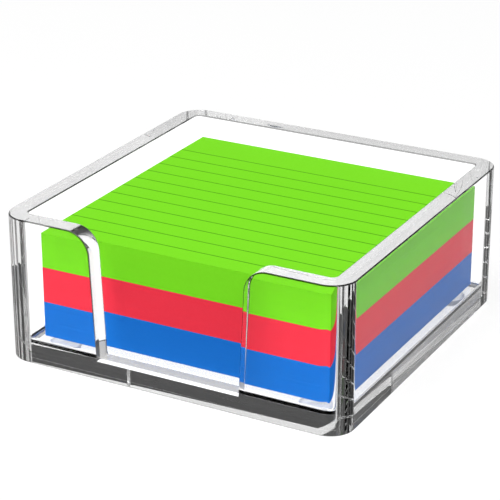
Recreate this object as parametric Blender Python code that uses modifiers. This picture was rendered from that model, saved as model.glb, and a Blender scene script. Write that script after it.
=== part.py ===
"""Clear square desk tray that holds three stacked sticky note pads.

Metres, Z up. X runs along the front wall, the finger notch faces -Y, and the feet stand on Z = 0.
"""

import math

import bmesh
import bpy

# Note pads
PAD_WIDTH = 0.0762
PAD_DEPTH = 0.0762
PAD_THICKNESS = 0.0088
NOTE_THICKNESS = 0.0001
BACKING_THICKNESS = 0.0002
SEAT_GAP = 0.0003

# Tray, sized round the pads
SIDE_CLEARANCE = 0.0028
FRONT_CLEARANCE = 0.0037
BACK_CLEARANCE = 0.0019
RIM_RISE = 0.0053
WALL_THICKNESS = 0.0048
FLOOR_THICKNESS = 0.0046
INNER_CORNER_RADIUS = 0.0014
BASE_EDGE_RADIUS = 0.0010
POLISHED_EDGE_RADIUS = 0.0004

# Finger notch in the front wall
NOTCH_SILL_WIDTH = 0.0384
NOTCH_DRAFT_DEGREES = 2.6
NOTCH_SHOULDER_RADIUS = 0.0060

# Feet
STAND_HEIGHT = 0.0020
FOOT_RADIUS = 0.0040
FOOT_INSET = 0.0115

# Shares of the size that each one follows
FLOOR_FILLET_share = 0.7
FOOT_FLAT_share = 0.7
FOOT_EDGE_share = 0.8

# Worked out from the sizes above
STACK_PITCH = PAD_THICKNESS + SEAT_GAP
STACK_HEIGHT = 3 * STACK_PITCH
CAVITY_WIDTH = PAD_WIDTH + 2 * SIDE_CLEARANCE
CAVITY_DEPTH = PAD_DEPTH + FRONT_CLEARANCE + BACK_CLEARANCE
TRAY_WIDTH = CAVITY_WIDTH + 2 * WALL_THICKNESS
TRAY_DEPTH = CAVITY_DEPTH + 2 * WALL_THICKNESS
TRAY_HEIGHT = FLOOR_THICKNESS + STACK_HEIGHT + RIM_RISE
OUTER_CORNER_RADIUS = INNER_CORNER_RADIUS + WALL_THICKNESS
FLOOR_FILLET = FLOOR_FILLET_share * INNER_CORNER_RADIUS
PAD_CENTRE_Y = (FRONT_CLEARANCE - BACK_CLEARANCE) / 2
CUT_OVERRUN = WALL_THICKNESS

# Facets
CORNER_SEGMENTS = 8
EDGE_SEGMENTS = 3
SHOULDER_SEGMENTS = 10
FOOT_SEGMENTS = 32
FOOT_EDGE_SEGMENTS = 4
POLISH_SEGMENTS = 2
SMOOTH_ANGLE = math.radians(35)
SQUARE_EDGE_ANGLE = math.radians(50)

# Colours, linear RGB with alpha
CLEAR_ACRYLIC = (0.93, 0.94, 0.95, 1.0)
CLEAR_RUBBER = (0.80, 0.82, 0.84, 1.0)
GREEN_PAPER = (0.23, 0.81, 0.053, 1.0)
RED_PAPER = (0.87, 0.046, 0.080, 1.0)
BLUE_PAPER = (0.012, 0.19, 0.69, 1.0)
ACRYLIC_IOR = 1.49


def clear_scene():
    """Remove whatever the file holds."""
    for obj in list(bpy.data.objects):
        bpy.data.objects.remove(obj, do_unlink=True)


def new_collection(name):
    """Add a collection to the scene."""
    collection = bpy.data.collections.new(name)
    bpy.context.scene.collection.children.link(collection)
    return collection


def paper(name, colour):
    """Matt coloured paper."""
    material = bpy.data.materials.new(name)
    material.use_nodes = True
    shader = material.node_tree.nodes["Principled BSDF"]
    shader.inputs["Base Color"].default_value = colour
    shader.inputs["Roughness"].default_value = 0.7
    shader.inputs["Metallic"].default_value = 0.0
    return material


def clear_plastic(name, colour, roughness, ior):
    """Clear plastic that light passes through."""
    material = bpy.data.materials.new(name)
    material.use_nodes = True
    shader = material.node_tree.nodes["Principled BSDF"]
    shader.inputs["Base Color"].default_value = colour
    shader.inputs["Roughness"].default_value = roughness
    shader.inputs["Metallic"].default_value = 0.0
    shader.inputs["IOR"].default_value = ior
    shader.inputs["Transmission Weight"].default_value = 1.0
    return material


def make_materials():
    """One material for each finish."""
    return {
        "acrylic": clear_plastic("clear_acrylic", CLEAR_ACRYLIC, 0.02, ACRYLIC_IOR),
        "rubber": clear_plastic("clear_rubber", CLEAR_RUBBER, 0.3, ACRYLIC_IOR),
        "green": paper("green_paper", GREEN_PAPER),
        "red": paper("red_paper", RED_PAPER),
        "blue": paper("blue_paper", BLUE_PAPER),
    }


def add_object(name, mesh, collection, material=None):
    """Make an object of a mesh, in a collection, shaded smooth across its shallow edges."""
    obj = bpy.data.objects.new(name, mesh)
    collection.objects.link(obj)
    if material is not None:
        mesh.materials.append(material)
    mesh.shade_smooth()
    mesh.set_sharp_from_angle(angle=SMOOTH_ANGLE)
    return obj


def add_empty(name, collection, parent, location):
    """Make an empty that carries one moving body."""
    empty = bpy.data.objects.new(name, None)
    collection.objects.link(empty)
    empty.parent = parent
    empty.location = location
    return empty


def hide_cutter(cutter):
    """Show a cutter as wire and leave it out of the model."""
    cutter.hide_render = True
    cutter.display_type = "WIRE"


def box_between(low, high):
    """A box mesh between two corners, as an editable mesh."""
    box = bmesh.new()
    bmesh.ops.create_cube(box, size=1.0)
    for vert in box.verts:
        for axis in range(3):
            vert.co[axis] = high[axis] if vert.co[axis] > 0 else low[axis]
    return box


def is_upright(edge):
    """True for an edge that runs along Z."""
    first, second = (vert.co for vert in edge.verts)
    return abs(first.z - second.z) > max(abs(first.x - second.x), abs(first.y - second.y))


def rounded_box(name, low, high, corner_radius, base_radius):
    """A box with round upright corners and a rounded edge round its base."""
    box = box_between(low, high)
    upright = [edge for edge in box.edges if is_upright(edge)]
    bmesh.ops.bevel(
        box,
        geom=upright,
        offset=corner_radius,
        segments=CORNER_SEGMENTS,
        profile=0.5,
        affect="EDGES",
    )
    middle_z = (low[2] + high[2]) / 2
    base = [face for face in box.faces if all(vert.co.z < middle_z for vert in face.verts)]
    edges = [edge for face in base for edge in face.edges]
    bmesh.ops.bevel(
        box,
        geom=edges,
        offset=base_radius,
        segments=EDGE_SEGMENTS,
        profile=0.5,
        affect="EDGES",
    )
    mesh = bpy.data.meshes.new(name)
    box.to_mesh(mesh)
    box.free()
    return mesh


def notch_side():
    """Right half of the notch's outline in X and Z: up the leaning side and round the shoulder."""
    draft = math.radians(NOTCH_DRAFT_DEGREES)
    sill = (NOTCH_SILL_WIDTH / 2, FLOOR_THICKNESS)
    centre_z = TRAY_HEIGHT - NOTCH_SHOULDER_RADIUS
    lean = NOTCH_SHOULDER_RADIUS + (centre_z - FLOOR_THICKNESS) * math.sin(draft)
    centre_x = sill[0] + lean / math.cos(draft)
    points = [sill]
    start = math.pi - draft
    end = math.pi / 2
    for step in range(SHOULDER_SEGMENTS + 1):
        angle = start + (end - start) * step / SHOULDER_SEGMENTS
        x = centre_x + NOTCH_SHOULDER_RADIUS * math.cos(angle)
        z = centre_z + NOTCH_SHOULDER_RADIUS * math.sin(angle)
        points.append((x, z))
    points.append((centre_x, TRAY_HEIGHT + CUT_OVERRUN))
    return points


def notch_cutter(collection):
    """The slot that is taken out of the front wall, flush with the floor's top."""
    right = notch_side()
    left = [(-x, z) for x, z in reversed(right)]
    outline = right + left
    curve = bpy.data.curves.new("notch_outline", "CURVE")
    curve.dimensions = "2D"
    curve.fill_mode = "BOTH"
    curve.extrude = WALL_THICKNESS / 2 + CUT_OVERRUN
    spline = curve.splines.new("POLY")
    spline.points.add(len(outline) - 1)
    for point, (x, z) in zip(spline.points, outline):
        point.co = (x, z, 0.0, 1.0)
    spline.use_cyclic_u = True
    guide = bpy.data.objects.new("notch_outline", curve)
    collection.objects.link(guide)
    guide.rotation_euler = (math.pi / 2, 0.0, 0.0)
    guide.location = (0.0, (WALL_THICKNESS - TRAY_DEPTH) / 2, STAND_HEIGHT)
    bpy.context.view_layer.update()
    evaluated = guide.evaluated_get(bpy.context.evaluated_depsgraph_get())
    mesh = bpy.data.meshes.new_from_object(evaluated)
    welded = bmesh.new()
    welded.from_mesh(mesh)
    bmesh.ops.remove_doubles(welded, verts=welded.verts, dist=SEAT_GAP / CORNER_SEGMENTS)
    welded.to_mesh(mesh)
    welded.free()
    cutter = bpy.data.objects.new("notch_cutter", mesh)
    collection.objects.link(cutter)
    cutter.matrix_world = guide.matrix_world
    bpy.data.objects.remove(guide)
    hide_cutter(cutter)
    return cutter


def cavity_cutter(collection):
    """The space inside the walls, with a fillet round the floor, open at the top."""
    low = (-CAVITY_WIDTH / 2, -CAVITY_DEPTH / 2, FLOOR_THICKNESS)
    high = (CAVITY_WIDTH / 2, CAVITY_DEPTH / 2, TRAY_HEIGHT + CUT_OVERRUN)
    mesh = rounded_box("cavity_cutter", low, high, INNER_CORNER_RADIUS, FLOOR_FILLET)
    cutter = bpy.data.objects.new("cavity_cutter", mesh)
    collection.objects.link(cutter)
    cutter.location.z = STAND_HEIGHT
    hide_cutter(cutter)
    return cutter


def make_tray(collection, cutters, material):
    """The moulded tray: floor, four walls and the finger notch, as one piece."""
    low = (-TRAY_WIDTH / 2, -TRAY_DEPTH / 2, 0.0)
    high = (TRAY_WIDTH / 2, TRAY_DEPTH / 2, TRAY_HEIGHT)
    mesh = rounded_box("tray", low, high, OUTER_CORNER_RADIUS, BASE_EDGE_RADIUS)
    tray = add_object("tray", mesh, collection, material)
    tray.location.z = STAND_HEIGHT
    for cutter in (cavity_cutter(cutters), notch_cutter(cutters)):
        cut = tray.modifiers.new(cutter.name, "BOOLEAN")
        cut.operation = "DIFFERENCE"
        cut.solver = "EXACT"
        cut.object = cutter
    polish = tray.modifiers.new("polished_edges", "BEVEL")
    polish.limit_method = "ANGLE"
    polish.angle_limit = SQUARE_EDGE_ANGLE
    polish.width = POLISHED_EDGE_RADIUS
    polish.segments = POLISH_SEGMENTS
    return tray


def foot_profile():
    """Half section of a foot, down its outer side: flat bonded top, flat resting end, round edge."""
    top = STAND_HEIGHT - SEAT_GAP
    flat = FOOT_FLAT_share * FOOT_RADIUS
    edge_height = FOOT_EDGE_share * top
    points = [(0.0, top), (FOOT_RADIUS, top)]
    for step in range(FOOT_EDGE_SEGMENTS + 1):
        angle = math.pi / 2 * step / FOOT_EDGE_SEGMENTS
        x = flat + (FOOT_RADIUS - flat) * math.cos(angle)
        z = edge_height * (1 - math.sin(angle))
        points.append((x, z))
    points.append((0.0, 0.0))
    return points


def foot_mesh():
    """Profile of a foot, to be turned by its Screw modifier."""
    profile = bmesh.new()
    verts = [profile.verts.new((x, 0.0, z)) for x, z in foot_profile()]
    for first, second in zip(verts, verts[1:]):
        profile.edges.new((first, second))
    mesh = bpy.data.meshes.new("foot")
    profile.to_mesh(mesh)
    profile.free()
    return mesh


def make_foot(name, side_x, side_y, collection, tray, material):
    """One round bumper under a corner of the floor."""
    foot = bpy.data.objects.new(name, foot_mesh())
    collection.objects.link(foot)
    foot.data.materials.append(material)
    foot.parent = tray
    x = side_x * (TRAY_WIDTH / 2 - FOOT_INSET)
    y = side_y * (TRAY_DEPTH / 2 - FOOT_INSET)
    foot.location = (x, y, -STAND_HEIGHT)
    turn = foot.modifiers.new("turn", "SCREW")
    turn.axis = "Z"
    turn.steps = FOOT_SEGMENTS
    turn.render_steps = FOOT_SEGMENTS
    turn.use_merge_vertices = True
    turn.merge_threshold = SEAT_GAP / FOOT_SEGMENTS
    turn.use_smooth_shade = True
    return foot


def make_feet(collection, tray, material):
    """The four bumpers."""
    for row, side_y in (("front", -1), ("back", 1)):
        for column, side_x in (("left", -1), ("right", 1)):
            name = f"foot_{row}_{column}"
            make_foot(name, side_x, side_y, collection, tray, material)


def make_sheet(name, bottom, thickness, origin_y, collection, carrier, material):
    """A flat stack of paper as wide as a pad; origin_y is where its origin lies along the pad."""
    low = (-PAD_WIDTH / 2, -PAD_DEPTH / 2 - origin_y, 0.0)
    high = (PAD_WIDTH / 2, PAD_DEPTH / 2 - origin_y, thickness)
    box = box_between(low, high)
    mesh = bpy.data.meshes.new(name)
    box.to_mesh(mesh)
    box.free()
    sheet = add_object(name, mesh, collection, material)
    sheet.parent = carrier
    sheet.location.z = bottom
    return sheet


def make_pad(colour, carrier, collection, material, spare):
    """One pad on its carrier: the backing sheet, and the glued notes less spare height at the top."""
    bottom = BACKING_THICKNESS + SEAT_GAP
    thickness = PAD_THICKNESS - bottom - spare
    make_sheet(f"{colour}_pad_backing", 0.0, BACKING_THICKNESS, 0.0, collection, carrier, material)
    make_sheet(f"{colour}_pad_notes", bottom, thickness, 0.0, collection, carrier, material)


def make_pads(collection, tray, materials):
    """Three pads, each carried by the one below, and the loose top note of the green one."""
    first = (0.0, PAD_CENTRE_Y, FLOOR_THICKNESS + SEAT_GAP)
    blue = add_empty("blue_pad_lift", collection, tray, first)
    red = add_empty("red_pad_lift", collection, blue, (0.0, 0.0, STACK_PITCH))
    green = add_empty("green_pad_lift", collection, red, (0.0, 0.0, STACK_PITCH))
    make_pad("blue", blue, collection, materials["blue"], 0.0)
    make_pad("red", red, collection, materials["red"], 0.0)
    make_pad("green", green, collection, materials["green"], NOTE_THICKNESS + SEAT_GAP)
    glued_edge = PAD_DEPTH / 2
    note_bottom = PAD_THICKNESS - NOTE_THICKNESS
    hinge = add_empty("top_note_peel", collection, green, (0.0, glued_edge, note_bottom))
    make_sheet("green_top_note", 0.0, NOTE_THICKNESS, glued_edge, collection, hinge,
               materials["green"])


def main():
    """Build the whole dispenser."""
    clear_scene()
    parts = new_collection("sticky_note_dispenser")
    cutters = new_collection("cutters")
    materials = make_materials()
    tray = make_tray(parts, cutters, materials["acrylic"])
    make_feet(parts, tray, materials["rubber"])
    make_pads(parts, tray, materials)


main()
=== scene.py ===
import math
import random

import bmesh
import bpy
from mathutils import Euler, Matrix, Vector


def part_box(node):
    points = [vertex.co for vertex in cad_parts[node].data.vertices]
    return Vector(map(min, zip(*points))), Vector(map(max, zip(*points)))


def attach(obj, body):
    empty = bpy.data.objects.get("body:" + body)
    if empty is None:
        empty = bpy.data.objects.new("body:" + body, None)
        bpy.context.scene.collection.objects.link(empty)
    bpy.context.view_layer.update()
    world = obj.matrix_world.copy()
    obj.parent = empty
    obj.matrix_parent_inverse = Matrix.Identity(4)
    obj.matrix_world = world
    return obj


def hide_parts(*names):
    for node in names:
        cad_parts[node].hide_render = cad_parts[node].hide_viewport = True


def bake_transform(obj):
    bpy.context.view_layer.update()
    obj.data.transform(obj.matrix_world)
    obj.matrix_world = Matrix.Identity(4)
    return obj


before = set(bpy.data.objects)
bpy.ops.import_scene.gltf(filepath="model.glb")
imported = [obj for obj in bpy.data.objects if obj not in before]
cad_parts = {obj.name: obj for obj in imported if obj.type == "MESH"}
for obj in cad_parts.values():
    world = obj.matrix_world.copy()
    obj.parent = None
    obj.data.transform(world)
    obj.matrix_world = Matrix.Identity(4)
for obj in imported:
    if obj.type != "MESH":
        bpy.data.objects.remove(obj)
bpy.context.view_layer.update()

# Lengths are in metres, and colours are linear RGB with alpha.

# Tray. Its floor is drawn as a slab with a thin top, a hairline apart from each other and from
# the walls, so that light stays in the slab and draws the dark base band of the photograph.
WALL = 0.0048
FLOOR = 0.0046
FLOOR_SLAB = 0.00403
FLOOR_FIT = 0.00001
FLOOR_FILLET = 0.0011
INNER_CORNER_RADIUS = 0.0014
OUTER_CORNER_RADIUS = INNER_CORNER_RADIUS + WALL
BASE_EDGE_RADIUS = 0.0003
POLISHED_EDGE_RADIUS = 0.0003
NOTCH_SILL_RISE = 0.00025
NOTCH_SILL_WIDTH = 0.0384
NOTCH_DRAFT_DEGREES = 2.6
NOTCH_SHOULDER_RADIUS = 0.0060

# Notes.
NOTE_THICKNESS = 0.0001
NOTE_SLIP = 0.00002
BACKING_DROP = 0.0001
BACKING_SEED = 10
TOP_NOTE_STRIPS = 76
TOP_NOTE_COLUMNS = 4
RULE_PITCH = 0.00592
RULE_FIRST = 0.0054
RULE_COUNT = 11
RULE_WIDTH = 0.00034
OFF_THE_NOTE = (-1.0, -1.0)

# Facets of the smooth pieces
CORNER_STEPS = 20
EDGE_STEPS = 8
SHOULDER_STEPS = 28
POLISH_STEPS = 3
ROUND_PROFILE = 0.5
SQUARE_EDGE_ANGLE = math.radians(50)
FLAT_FACE_WEIGHT = 100

# Camera, from the photograph's straight edges
CAMERA_PLACE = (0.20777, -0.38933, 0.20845)
CAMERA_YAW_DEGREES = 28.369
CAMERA_PITCH_DEGREES = 22.849
CAMERA_LENS_MM = 138.22
CAMERA_SENSOR_MM = 36.0
CAMERA_NEAREST = 0.01

BLACK = (0.0, 0.0, 0.0, 1.0)
WHITE = (1.0, 1.0, 1.0, 1.0)

# Clear acrylic. The loss is what a metre of it takes from light, as a natural logarithm.
ACRYLIC_TINT = 1.0
# The edge acrylic is greyed to a quarter as painted shade, which draws dark lines along the
# polished edges.
ACRYLIC_EDGE_PAINTED_SHADE = 0.25
ACRYLIC_IOR = 1.49
ACRYLIC_ROUGHNESS = (0.0, 0.008)
ACRYLIC_PATCHES = 60.0
ACRYLIC_SHADOW = (0.97, 0.97, 0.97, 1.0)
ACRYLIC_LOSS_PER_METRE = 3.0

# Clear rubber
RUBBER_COLOUR = (0.93, 0.95, 1.0, 1.0)
RUBBER_IOR = 1.3
RUBBER_ROUGHNESS = (0.3, 0.45)
RUBBER_PATCHES = 900.0

# Paper and ink
GREEN = (0.215, 0.78, 0.016, 1.0)
GREEN_INK = (0.045, 0.30, 0.004, 1.0)
RED = (0.92, 0.040, 0.075, 1.0)
BLUE = (0.008, 0.18, 0.67, 1.0)
INK_COVER = 0.9
DEEP_SHADE = 0.94
DEEP_SHARE = (0.0, 1.4)
PAPER_ROUGHNESS = (0.62, 0.8)
PAPER_GLOSS = 0.15
FIBRE_SCALE = 1600.0
FIBRE_DETAIL = 6.0
FIBRE_STRENGTH = 0.06
FIBRE_HEIGHT = 0.00002
CLOUD_SCALE = 30.0
NOISE_DETAIL = 3.0

# Stage floor. It glows white for the camera and through clear pieces, by how often the ray was
# mirrored on its way (each time is one step along the stops), and little for other rays.
STAGE_RADIUS = 4.0
STAGE_SEGMENTS = 96
STAGE_DROP = 0.00005
STAGE_GREY = (0.2, 0.2, 0.2, 1.0)
MIRROR_STEP = 0.25
GLOW_THROUGH = ((0.0, 1.2), (0.25, 0.4), (0.5, 0.95))
GLOW_DIRECT = (("Is Camera Ray", 0.82), ("Is Glossy Ray", 0.1))
GLOW_LOST_WHEN_SCATTERED = 0.8

# Studio surround, as stops of height and grey, on the camera's side and on the far side
SKY_NEAR = ((0.1, 1.0), (0.2, 0.6), (0.6, 0.6), (0.75, 0.1))
SKY_FAR = ((0.1, 1.0), (0.2, 0.1), (0.6, 0.1), (0.75, 0.1))
SKY_BLEND = 0.2

# Lamps: name, place, diameter and watts
LAMPS = (
    ("key", (-0.35, -0.9, 1.3), 0.9, 20.0),
    ("fill", (0.9, -0.3, 1.0), 0.8, 6.5),
)
ALL_BOUNCES = 32
CLEAR_BOUNCES = 24


def link(obj):
    """Put an object in the scene."""
    bpy.context.scene.collection.objects.link(obj)
    return obj


def mesh_object(name, bm):
    """Turn an editable mesh into an object."""
    mesh = bpy.data.meshes.new(name)
    bm.to_mesh(mesh)
    bm.free()
    return link(bpy.data.objects.new(name, mesh))


def wear(obj, *materials):
    """Give an object its materials."""
    obj.data.materials.clear()
    for material in materials:
        obj.data.materials.append(material)


def settle(obj):
    """Apply an object's modifiers to its mesh."""
    evaluated = obj.evaluated_get(bpy.context.evaluated_depsgraph_get())
    mesh = bpy.data.meshes.new_from_object(evaluated)
    obj.modifiers.clear()
    obj.data = mesh


def take_out(obj, cutter):
    """Cut one object out of another."""
    cut = obj.modifiers.new("cut", "BOOLEAN")
    cut.operation = "DIFFERENCE"
    cut.solver = "EXACT"
    cut.object = cutter
    settle(obj)
    bpy.data.objects.remove(cutter)


def extruded(bm, faces, keep):
    """Extrude faces in place; gives the new verts, which are still to be moved."""
    pushed = bmesh.ops.extrude_face_region(bm, geom=faces, use_keep_orig=keep)
    return [item for item in pushed["geom"] if isinstance(item, bmesh.types.BMVert)]


def box_between(low, high):
    """A box between two corners, as an editable mesh."""
    bm = bmesh.new()
    bmesh.ops.create_cube(bm, size=1.0)
    for vert in bm.verts:
        for axis in range(3):
            vert.co[axis] = high[axis] if vert.co[axis] > 0 else low[axis]
    return bm


def rounded_box(name, low, high, corner_radius, base_radius):
    """A box with round upright corners and a rounded edge round its base."""
    bm = box_between(low, high)
    upright = [edge for edge in bm.edges
               if abs(edge.verts[0].co.z - edge.verts[1].co.z) > corner_radius]
    bmesh.ops.bevel(bm, geom=upright, offset=corner_radius, segments=CORNER_STEPS,
                    profile=ROUND_PROFILE, affect="EDGES")
    middle = (low[2] + high[2]) / 2
    base = [face for face in bm.faces if all(vert.co.z < middle for vert in face.verts)]
    edges = [edge for face in base for edge in face.edges]
    bmesh.ops.bevel(bm, geom=edges, offset=base_radius, segments=EDGE_STEPS,
                    profile=ROUND_PROFILE, affect="EDGES")
    return mesh_object(name, bm)


def notch_outline(sill_z, rim_z):
    """The notch's outline in X and Z, from the sill's right end round to its left end."""
    draft = math.radians(NOTCH_DRAFT_DEGREES)
    radius = NOTCH_SHOULDER_RADIUS
    centre_z = rim_z - radius
    lean = radius + (centre_z - sill_z) * math.sin(draft)
    centre_x = NOTCH_SILL_WIDTH / 2 + lean / math.cos(draft)
    right = [(NOTCH_SILL_WIDTH / 2, sill_z)]
    for step in range(SHOULDER_STEPS + 1):
        turned = step / SHOULDER_STEPS
        angle = (math.pi - draft) * (1 - turned) + math.pi / 2 * turned
        right.append((centre_x + radius * math.cos(angle), centre_z + radius * math.sin(angle)))
    right.append((centre_x, rim_z + WALL))
    return right + [(-x, z) for x, z in reversed(right)]


def notch_block(low, high):
    """The solid that leaves the notch when it is taken out of the front wall."""
    bm = bmesh.new()
    front = low.y - WALL
    back = low.y + 2 * WALL
    outline = notch_outline(low.z + FLOOR + NOTCH_SILL_RISE, high.z)
    face = bm.faces.new([bm.verts.new((x, front, z)) for x, z in outline])
    for vert in extruded(bm, [face], keep=False):
        vert.co.y = back
    bmesh.ops.recalc_face_normals(bm, faces=bm.faces)
    return mesh_object("notch_block", bm)


def mark_square_edges(obj, above):
    """Give bevel weight to the square edges that reach above a height."""
    bm = bmesh.new()
    bm.from_mesh(obj.data)
    weight = bm.edges.layers.float.new("bevel_weight_edge")
    for edge in bm.edges:
        square = edge.calc_face_angle(0.0) > SQUARE_EDGE_ANGLE
        if square and max(vert.co.z for vert in edge.verts) > above:
            edge[weight] = 1.0
    bm.to_mesh(obj.data)
    bm.free()


def polish_edges(obj, above):
    """Round the square edges above a height a little, in the second material, a greyed acrylic
    that paints shade along them.
    """
    mark_square_edges(obj, above)
    polish = obj.modifiers.new("polish", "BEVEL")
    polish.limit_method = "WEIGHT"
    polish.width = POLISHED_EDGE_RADIUS
    polish.segments = POLISH_STEPS
    # The bevels take the greyed acrylic, which paints shade along the edges.
    polish.material = 1
    settle(obj)


def smooth_faces(obj):
    """Shade an object smooth, crisp at its square edges, with flat normals on its flat faces."""
    obj.data.shade_smooth()
    obj.data.set_sharp_from_angle(angle=SQUARE_EDGE_ANGLE)
    weigh = obj.modifiers.new("weigh", "WEIGHTED_NORMAL")
    weigh.weight = FLAT_FACE_WEIGHT
    weigh.keep_sharp = True
    settle(obj)


def make_walls(low, high):
    """The four walls round the well, with the finger notch in the front one."""
    walls = rounded_box("acrylic_walls", low, high, OUTER_CORNER_RADIUS, BASE_EDGE_RADIUS)
    well = rounded_box("well", low + Vector((WALL, WALL, -WALL)),
                       high + Vector((-WALL, -WALL, WALL)), INNER_CORNER_RADIUS, FLOOR_FILLET)
    take_out(walls, well)
    take_out(walls, notch_block(low, high))
    return walls


def floor_layer(name, low, high, bottom, top):
    """A plate between the walls, from one height above the tray's underside to another."""
    inset = WALL + FLOOR_FIT
    return rounded_box(name, (low.x + inset, low.y + inset, low.z + bottom),
                       (high.x - inset, high.y - inset, low.z + top),
                       INNER_CORNER_RADIUS, FLOOR_FIT)


def make_floor_top(low, high):
    """The top of the floor, turned up in a fillet where it meets the walls."""
    skin = floor_layer("acrylic_floor_top", low, high, FLOOR_SLAB + FLOOR_FIT,
                       FLOOR + FLOOR_FILLET)
    inset = WALL + 2 * FLOOR_FIT
    well = rounded_box("well", (low.x + inset, low.y + inset, low.z + FLOOR),
                       (high.x - inset, high.y - inset, high.z), INNER_CORNER_RADIUS,
                       FLOOR_FILLET)
    take_out(skin, well)
    take_out(skin, notch_block(low, high))
    return skin


def make_tray(clear, edges):
    """The clear acrylic tray: its walls with polished edges greyed as painted shade, the floor's
    slab and its top.
    """
    low, high = corners_of("tray")
    walls = make_walls(low, high)
    # The second material is the greyed edge acrylic, painted shade along the polished edges.
    wear(walls, clear, edges)
    polish_edges(walls, low.z + FLOOR + NOTCH_SILL_RISE + FLOOR_FIT)
    smooth_faces(walls)
    slab = floor_layer("acrylic_floor", low, high, 0.0, FLOOR_SLAB)
    skin = make_floor_top(low, high)
    smooth_faces(skin)
    for piece in (slab, skin):
        wear(piece, clear)
    for piece in (walls, slab, skin):
        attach(piece, "tray")
    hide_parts("tray")


def new_material(name):
    """A material with its node tree and its shader."""
    material = bpy.data.materials.new(name)
    material.use_nodes = True
    tree = material.node_tree
    return material, tree, tree.nodes["Principled BSDF"]


def set_inputs(node, values):
    """Set some of a node's inputs, by name."""
    for name, value in values.items():
        node.inputs[name].default_value = value


def feed(tree, socket, value):
    """Link an output to an input, or set the input to a constant."""
    if isinstance(value, bpy.types.NodeSocket):
        tree.links.new(value, socket)
    else:
        socket.default_value = value


def coordinates(tree, kind):
    """The texture coordinates of one kind."""
    return tree.nodes.new("ShaderNodeTexCoord").outputs[kind]


def parted(tree, vector):
    """A vector's X, Y and Z."""
    split = tree.nodes.new("ShaderNodeSeparateXYZ")
    tree.links.new(vector, split.inputs[0])
    return split.outputs


def add_noise(tree, place, scale, detail=NOISE_DETAIL):
    """A noise texture on some coordinates; gives its value."""
    noise = tree.nodes.new("ShaderNodeTexNoise")
    set_inputs(noise, {"Scale": scale, "Detail": detail})
    tree.links.new(place, noise.inputs["Vector"])
    return noise.outputs["Fac"]


def spread(tree, value, low, high):
    """Map a value from 0..1 to low..high."""
    node = tree.nodes.new("ShaderNodeMapRange")
    set_inputs(node, {"To Min": low, "To Max": high})
    tree.links.new(value, node.inputs["Value"])
    return node.outputs["Result"]


def maths(tree, operation, *values):
    """One arithmetic node on sockets or numbers."""
    node = tree.nodes.new("ShaderNodeMath")
    node.operation = operation
    for socket, value in zip(node.inputs, values):
        feed(tree, socket, value)
    return node.outputs["Value"]


def mixed(tree, factor, first, second):
    """A mix of two colours, each a constant or a socket."""
    node = tree.nodes.new("ShaderNodeMix")
    node.data_type = "RGBA"
    for index, value in ((0, factor), (6, first), (7, second)):
        feed(tree, node.inputs[index], value)
    return node.outputs[2]


def grey_ramp(tree, value, stops):
    """A grey that follows a value through some stops."""
    ramp = tree.nodes.new("ShaderNodeValToRGB")
    elements = ramp.color_ramp.elements
    while len(elements) < len(stops):
        elements.new(0.5)
    for element, (position, level) in zip(elements, stops):
        element.position = position
        element.color = (level, level, level, 1.0)
    tree.links.new(value, ramp.inputs[0])
    return ramp.outputs[0]


def see_through(name, colour, ior, roughness, patches):
    """A clear material, rougher in patches, that mirrors at a grazing angle and from within."""
    material, tree, shader = new_material(name)
    set_inputs(shader, {"Base Color": colour, "Transmission Weight": 1.0, "IOR": ior,
                        "Specular Tint": BLACK})
    noise = add_noise(tree, coordinates(tree, "Object"), patches)
    tree.links.new(spread(tree, noise, *roughness), shader.inputs["Roughness"])
    return material, tree, shader


def acrylic(name, tint):
    """Polished clear acrylic; lamps' rays go straight through it to the notes. A tint under 1
    greys it as painted shade.
    """
    material, tree, shader = see_through(name, (tint, tint, tint, 1.0), ACRYLIC_IOR,
                                         ACRYLIC_ROUGHNESS, ACRYLIC_PATCHES)
    result = tree.nodes["Material Output"].inputs
    clear = tree.nodes.new("ShaderNodeBsdfTransparent")
    set_inputs(clear, {"Color": ACRYLIC_SHADOW})
    path = tree.nodes.new("ShaderNodeLightPath").outputs
    mix = tree.nodes.new("ShaderNodeMixShader")
    for index, output in enumerate((path["Is Shadow Ray"], shader.outputs[0], clear.outputs[0])):
        tree.links.new(output, mix.inputs[index])
    tree.links.new(mix.outputs[0], result["Surface"])
    loss = tree.nodes.new("ShaderNodeVolumeAbsorption")
    set_inputs(loss, {"Color": BLACK, "Density": ACRYLIC_LOSS_PER_METRE})
    tree.links.new(loss.outputs[0], result["Volume"])
    return material


def soft_rubber():
    """Soft clear rubber of the bumpers."""
    return see_through("clear_rubber", RUBBER_COLOUR, RUBBER_IOR, RUBBER_ROUGHNESS,
                       RUBBER_PATCHES)[0]


def rule_mask(tree):
    """1 on the printed rules of a note, from its flat coordinates in metres, else 0."""
    flat = tree.nodes.new("ShaderNodeUVMap")
    flat.uv_map = "flat"
    across = parted(tree, flat.outputs["UV"])["Y"]
    step = maths(tree, "DIVIDE", maths(tree, "SUBTRACT", across, RULE_FIRST - RULE_PITCH / 2),
                 RULE_PITCH)
    away = maths(tree, "ABSOLUTE", maths(tree, "SUBTRACT", maths(tree, "FRACT", step), 0.5))
    near = maths(tree, "LESS_THAN", away, RULE_WIDTH / RULE_PITCH / 2)
    after_first = maths(tree, "GREATER_THAN", step, 0.0)
    before_last = maths(tree, "LESS_THAN", step, float(RULE_COUNT))
    return maths(tree, "MULTIPLY", near, maths(tree, "MULTIPLY", after_first, before_last))


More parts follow.
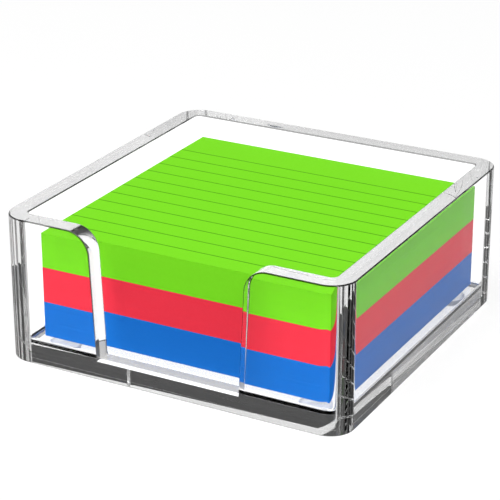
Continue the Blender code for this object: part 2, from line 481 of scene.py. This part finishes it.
def paper(name, colour, ink=None):
    """Coloured note paper: faint fibres, a little deeper in patches, and rules if inked."""
    material, tree, shader = new_material(name)
    place = coordinates(tree, "Object")
    fibre = add_noise(tree, place, FIBRE_SCALE, FIBRE_DETAIL)
    cloud = add_noise(tree, place, CLOUD_SCALE)
    deep = tuple(channel * DEEP_SHADE for channel in colour[:3]) + (1.0,)
    share = spread(tree, maths(tree, "MULTIPLY", fibre, cloud), *DEEP_SHARE)
    base = mixed(tree, share, colour, deep)
    if ink:
        base = mixed(tree, maths(tree, "MULTIPLY", rule_mask(tree), INK_COVER), base, ink)
    tree.links.new(base, shader.inputs["Base Color"])
    tree.links.new(spread(tree, fibre, *PAPER_ROUGHNESS), shader.inputs["Roughness"])
    set_inputs(shader, {"Specular IOR Level": PAPER_GLOSS})
    bump = tree.nodes.new("ShaderNodeBump")
    set_inputs(bump, {"Strength": FIBRE_STRENGTH, "Distance": FIBRE_HEIGHT})
    tree.links.new(fibre, bump.inputs["Height"])
    tree.links.new(bump.outputs["Normal"], shader.inputs["Normal"])
    return material


def corners_of(node):
    """A node's lowest and highest corners."""
    return tuple(Vector(corner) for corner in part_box(node))


def ring(bm, low, high, z, slip):
    """Four verts round a stack at one height, slipped by a little."""
    corners = ((low.x, low.y), (high.x, low.y), (high.x, high.y), (low.x, high.y))
    return [bm.verts.new((x + slip[0], y + slip[1], z)) for x, y in corners]


def lay_flat(bm, low, tops):
    """Store where each point of the top faces lies on a note, in metres from its front left."""
    layer = bm.loops.layers.uv.new("flat")
    for face in bm.faces:
        for loop in face.loops:
            if face in tops:
                loop[layer].uv = (loop.vert.co.x - low.x, loop.vert.co.y - low.y)
            else:
                loop[layer].uv = OFF_THE_NOTE


def note_stack(name, low, high, seed):
    """A block of notes as one skin, with each note's edge slipped a little from the next."""
    draw = random.Random(seed)
    count = round((high.z - low.z) / NOTE_THICKNESS)
    bm = bmesh.new()
    rings = []
    for index in range(count):
        slip = (draw.uniform(-NOTE_SLIP, NOTE_SLIP), draw.uniform(-NOTE_SLIP, NOTE_SLIP))
        for end in (index, index + 1):
            z = low.z + (high.z - low.z) * end / count
            rings.append(ring(bm, low, high, z, slip))
    for below, above in zip(rings, rings[1:]):
        for side in range(4):
            after = (side + 1) % 4
            bm.faces.new((below[side], below[after], above[after], above[side]))
    bm.faces.new(reversed(rings[0]))
    top = bm.faces.new(rings[-1])
    bm.normal_update()
    lay_flat(bm, low, {top})
    return mesh_object(name, bm)


def top_note(name, low, high):
    """The loose top note, as a fine grid of strips."""
    bm = bmesh.new()
    bmesh.ops.create_grid(bm, x_segments=TOP_NOTE_COLUMNS, y_segments=TOP_NOTE_STRIPS, size=0.5)
    for vert in bm.verts:
        vert.co.x = low.x + (vert.co.x + 0.5) * (high.x - low.x)
        vert.co.y = low.y + (vert.co.y + 0.5) * (high.y - low.y)
        vert.co.z = high.z
    for vert in extruded(bm, list(bm.faces), keep=True):
        vert.co.z = low.z
    bmesh.ops.recalc_face_normals(bm, faces=bm.faces)
    lay_flat(bm, low, {face for face in bm.faces if face.normal.z > 0.5})
    return mesh_object(name, bm)


def make_stacks(papers):
    """Each pad's notes and backing sheet; they close the small gaps between the CAD pieces."""
    ceilings = {
        "blue": corners_of("red_pad_backing")[0].z - BACKING_DROP,
        "red": corners_of("green_pad_backing")[0].z - BACKING_DROP,
        "green": corners_of("green_top_note")[0].z,
    }
    for seed, colour in enumerate(("blue", "red", "green")):
        body = f"{colour}_pad"
        low, high = corners_of(f"{colour}_pad_notes")
        backing_low, backing_high = corners_of(f"{colour}_pad_backing")
        low.z = backing_high.z
        high.z = ceilings[colour] - NOTE_SLIP
        block = note_stack(f"{colour}_notes", low, high, seed)
        backing_low.z -= BACKING_DROP
        backing = note_stack(f"{colour}_backing_sheet", backing_low, backing_high,
                             seed + BACKING_SEED)
        for piece, node in ((block, "notes"), (backing, "backing")):
            wear(piece, papers[colour])
            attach(piece, body)
            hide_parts(f"{colour}_pad_{node}")


def make_top_note(material):
    """The loose top note, laid flat where the CAD's top note was."""
    low, high = corners_of("green_top_note")
    note = top_note("top_note_sheet", low, high)
    wear(note, material)
    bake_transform(note)
    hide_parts("green_top_note")


def dress_feet(material):
    """Give the CAD's round bumpers their rubber."""
    for row in ("front", "back"):
        for column in ("left", "right"):
            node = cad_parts[f"foot_{row}_{column}"]
            for slot in node.material_slots:
                slot.material = material


def make_camera():
    """The camera at the photograph's place."""
    data = bpy.data.cameras.new("camera")
    data.sensor_width = CAMERA_SENSOR_MM
    data.lens = CAMERA_LENS_MM
    data.clip_start = CAMERA_NEAREST
    camera = link(bpy.data.objects.new("camera", data))
    camera.location = CAMERA_PLACE
    tilt = math.radians(90.0 - CAMERA_PITCH_DEGREES)
    camera.rotation_euler = Euler((tilt, 0.0, math.radians(CAMERA_YAW_DEGREES)))
    bpy.context.scene.camera = camera


def floor_glow(tree):
    """The stage floor's glow for each kind of ray."""
    path = tree.nodes.new("ShaderNodeLightPath").outputs
    mirrored = maths(tree, "MULTIPLY", path["Glossy Depth"], MIRROR_STEP)
    through = grey_ramp(tree, mirrored, GLOW_THROUGH)
    glow = maths(tree, "MULTIPLY", through, path["Is Transmission Ray"])
    for rays, level in GLOW_DIRECT:
        glow = maths(tree, "MAXIMUM", glow, maths(tree, "MULTIPLY", path[rays], level))
    scattered = maths(tree, "GREATER_THAN", path["Diffuse Depth"], 0.5)
    lost = maths(tree, "MULTIPLY", scattered, GLOW_LOST_WHEN_SCATTERED)
    return maths(tree, "MULTIPLY", glow, maths(tree, "SUBTRACT", 1.0, lost))


def make_floor():
    """A wide pale floor that stays white round the object and keeps its shadow."""
    bm = bmesh.new()
    bmesh.ops.create_circle(bm, cap_ends=True, segments=STAGE_SEGMENTS, radius=STAGE_RADIUS)
    floor = mesh_object("floor", bm)
    floor.location.z = -STAGE_DROP
    material, tree, shader = new_material("pale_floor")
    set_inputs(shader, {"Base Color": STAGE_GREY, "Roughness": 1.0, "Specular IOR Level": 0.0,
                        "Emission Color": WHITE})
    tree.links.new(floor_glow(tree), shader.inputs["Emission Strength"])
    wear(floor, material)


def make_world():
    """Studio surround: white at floor level, dim above on the far side, paler on the near side."""
    world = bpy.data.worlds.new("studio")
    bpy.context.scene.world = world
    world.use_nodes = True
    tree = world.node_tree
    background = tree.nodes["Background"]
    direction = parted(tree, coordinates(tree, "Generated"))
    near, far = (grey_ramp(tree, direction["Z"], stops) for stops in (SKY_NEAR, SKY_FAR))
    side = tree.nodes.new("ShaderNodeMapRange")
    set_inputs(side, {"From Min": -SKY_BLEND, "From Max": SKY_BLEND})
    tree.links.new(direction["Y"], side.inputs["Value"])
    tree.links.new(mixed(tree, side.outputs["Result"], near, far), background.inputs["Color"])
    background.inputs["Strength"].default_value = 1.0


def make_lamps():
    """Two soft lamps, above the front left and above the right."""
    for name, place, size, power in LAMPS:
        data = bpy.data.lights.new(name, "AREA")
        data.shape = "DISK"
        data.size = size
        data.energy = power
        lamp = link(bpy.data.objects.new(name, data))
        lamp.location = place
        lamp.rotation_euler = (-Vector(place)).to_track_quat("-Z", "Y").to_euler()


def set_bounces():
    """Let light rays cross the clear walls many times."""
    cycles = bpy.context.scene.cycles
    cycles.max_bounces = ALL_BOUNCES
    cycles.glossy_bounces = CLEAR_BOUNCES
    cycles.transmission_bounces = CLEAR_BOUNCES


def main():
    """Dress the tray, its feet and its pads, and set the stage."""
    bpy.context.scene.view_settings.view_transform = "Standard"
    papers = {
        "green": paper("green_paper", GREEN, GREEN_INK),
        "red": paper("red_paper", RED),
        "blue": paper("blue_paper", BLUE),
    }
    # The edge acrylic is greyed, which paints shade along the polished edges.
    make_tray(acrylic("clear_acrylic", ACRYLIC_TINT),
              acrylic("clear_acrylic_edge_painted_shade", ACRYLIC_EDGE_PAINTED_SHADE))
    dress_feet(soft_rubber())
    make_stacks(papers)
    make_top_note(papers["green"])
    make_camera()
    make_floor()
    make_world()
    make_lamps()
    set_bounces()


main()
